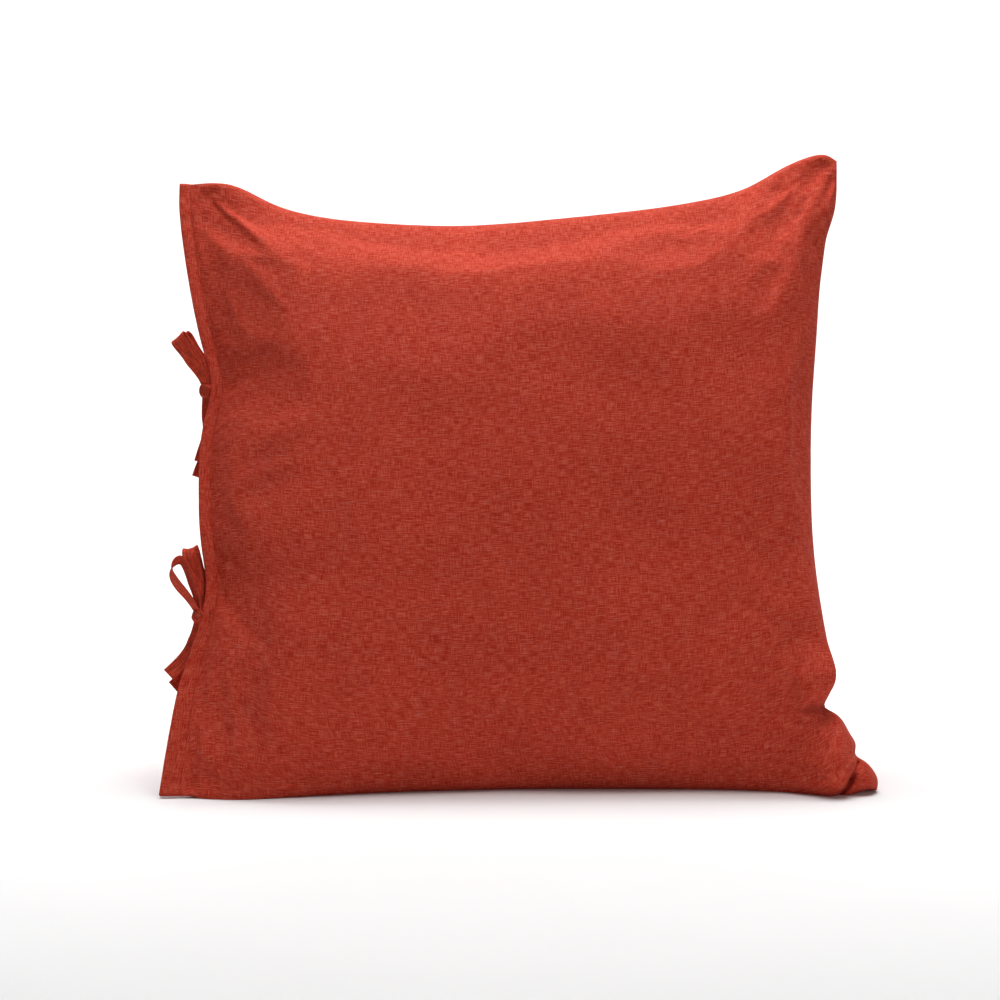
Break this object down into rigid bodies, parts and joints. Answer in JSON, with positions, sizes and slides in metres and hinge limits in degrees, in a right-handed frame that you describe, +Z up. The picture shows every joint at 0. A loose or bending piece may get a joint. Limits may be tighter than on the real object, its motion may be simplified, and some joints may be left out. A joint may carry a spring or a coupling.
{
  "type": "floor cushion",
  "caption": "Square floor cushion standing on its bottom edge, a linen envelope cover tied shut along one side with bows of its own cloth over a plump insert.",
  "frame": {"origin": "on the floor, in the middle of the flattened bottom", "axes": "+X to the right when the cushion is seen from its front, the opening edge with the bows on -X; +Y to the back; +Z up"},
  "size_m": [0.5976, 0.2366, 0.5281],
  "materials": {
    "linen": "matte",
    "linen_hem": "matte",
    "linen_tie": "matte",
    "thread": "matte",
    "cotton_casing": "matte",
    "fibre_fill": "matte"
  },
  "bodies": {
    "cushion": {"front_panel": "linen", "back_panel": "linen", "insert_front_casing": "cotton_casing", "insert_back_casing": "cotton_casing", "insert_fill": "fibre_fill", "side_seam_thread": "thread", "top_seam_thread": "thread", "bottom_seam_thread": "thread", "insert_closing_stitch": "thread", "front_hem": "linen_hem", "front_hem_thread": "thread", "back_hem": "linen_hem", "back_hem_thread": "thread", "tie_bar_tacks": "thread", "upper_knot": "linen_tie", "upper_front_tie_root": "linen_tie", "upper_back_tie_root": "linen_tie", "lower_knot": "linen_tie", "lower_front_tie_root": "linen_tie", "lower_back_tie_root": "linen_tie"},
    "upper_front_loop_body": {"upper_front_loop": "linen_tie"},
    "upper_back_loop_body": {"upper_back_loop": "linen_tie"},
    "upper_front_tail_body": {"upper_front_tail": "linen_tie"},
    "upper_back_tail_body": {"upper_back_tail": "linen_tie"},
    "lower_front_loop_body": {"lower_front_loop": "linen_tie"},
    "lower_back_loop_body": {"lower_back_loop": "linen_tie"},
    "lower_front_tail_body": {"lower_front_tail": "linen_tie"},
    "lower_back_tail_body": {"lower_back_tail": "linen_tie"}
  },
  "joints": [
    {"name": "upper_front_loop_swing", "type": "hinge", "parent": "cushion", "child": "upper_front_loop_body", "pos_m": [-0.27452, 0.00484, 0.33572], "axis": [0.8268, 0.2901, 0.482], "range_deg": [-8, 30], "stiffness_Nm_per_rad": 0.004},
    {"name": "upper_back_loop_swing", "type": "hinge", "parent": "cushion", "child": "upper_back_loop_body", "pos_m": [-0.27257, 0.01353, 0.33354], "axis": [0.9531, 0.1911, 0.2347], "range_deg": [-30, 5], "stiffness_Nm_per_rad": 0.004},
    {"name": "upper_front_tail_swing", "type": "hinge", "parent": "cushion", "child": "upper_front_tail_body", "pos_m": [-0.27205, 0.00574, 0.31881], "axis": [0.969, -0.084, -0.2323], "range_deg": [-3, 3], "stiffness_Nm_per_rad": 0.004},
    {"name": "upper_back_tail_swing", "type": "hinge", "parent": "cushion", "child": "upper_back_tail_body", "pos_m": [-0.27081, 0.01147, 0.31719], "axis": [0.994, -0.0337, -0.1043], "range_deg": [-2, 35], "stiffness_Nm_per_rad": 0.004},
    {"name": "lower_front_loop_swing", "type": "hinge", "parent": "cushion", "child": "lower_front_loop_body", "pos_m": [-0.27477, -0.06387, 0.15747], "axis": [0.1012, -0.9339, 0.3429], "range_deg": [-12, 25], "stiffness_Nm_per_rad": 0.004},
    {"name": "lower_back_loop_swing", "type": "hinge", "parent": "cushion", "child": "lower_back_loop_body", "pos_m": [-0.27194, -0.04967, 0.15327], "axis": [0.0885, -0.9059, 0.4142], "range_deg": [-6, 25], "stiffness_Nm_per_rad": 0.004},
    {"name": "lower_front_tail_swing", "type": "hinge", "parent": "cushion", "child": "lower_front_tail_body", "pos_m": [-0.27442, -0.06842, 0.14255], "axis": [0.0991, -0.9646, 0.2442], "range_deg": [-20, 7], "stiffness_Nm_per_rad": 0.004},
    {"name": "lower_back_tail_swing", "type": "hinge", "parent": "cushion", "child": "lower_back_tail_body", "pos_m": [-0.273, -0.05524, 0.13714], "axis": [0.1111, -0.9708, 0.2126], "range_deg": [-20, 10], "stiffness_Nm_per_rad": 0.004}
  ]
}
